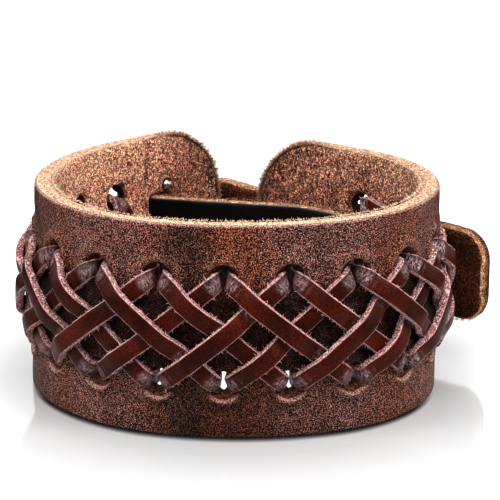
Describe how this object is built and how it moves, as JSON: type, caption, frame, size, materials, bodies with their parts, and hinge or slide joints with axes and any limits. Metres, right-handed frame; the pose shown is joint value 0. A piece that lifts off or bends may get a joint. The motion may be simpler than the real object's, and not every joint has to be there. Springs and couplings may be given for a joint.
{
  "type": "leather bracelet",
  "caption": "Wide leather cuff laced crosswise with flat leather laces, open at the back and closed by a narrow strap that ends in a rounded tab.",
  "frame": {"origin": "middle of the wrist hollow, on the plane that the lower rim rests on", "axes": "+Z along the wrist, up out of the upper rim; +Y to the open back of the band, where the strap closes it; +X to the side that the tab points to"},
  "size_m": [0.0782, 0.0751, 0.034],
  "materials": {
    "band_leather": "dark pull-up leather with worn edges",
    "lace_leather": "smooth glossy dark red-brown",
    "strap_leather": "smooth black-brown with tan cut edges",
    "nickel": "polished nickel plate"
  },
  "bodies": {
    "root": {"band": "band_leather", "lace_first": "lace_leather", "lace_second": "lace_leather", "closing_strap": "strap_leather", "snap": "nickel", "anchor_rivet": "nickel", "slot_rivet_upper": "nickel", "slot_rivet_lower": "nickel"}
  },
  "joints": []
}
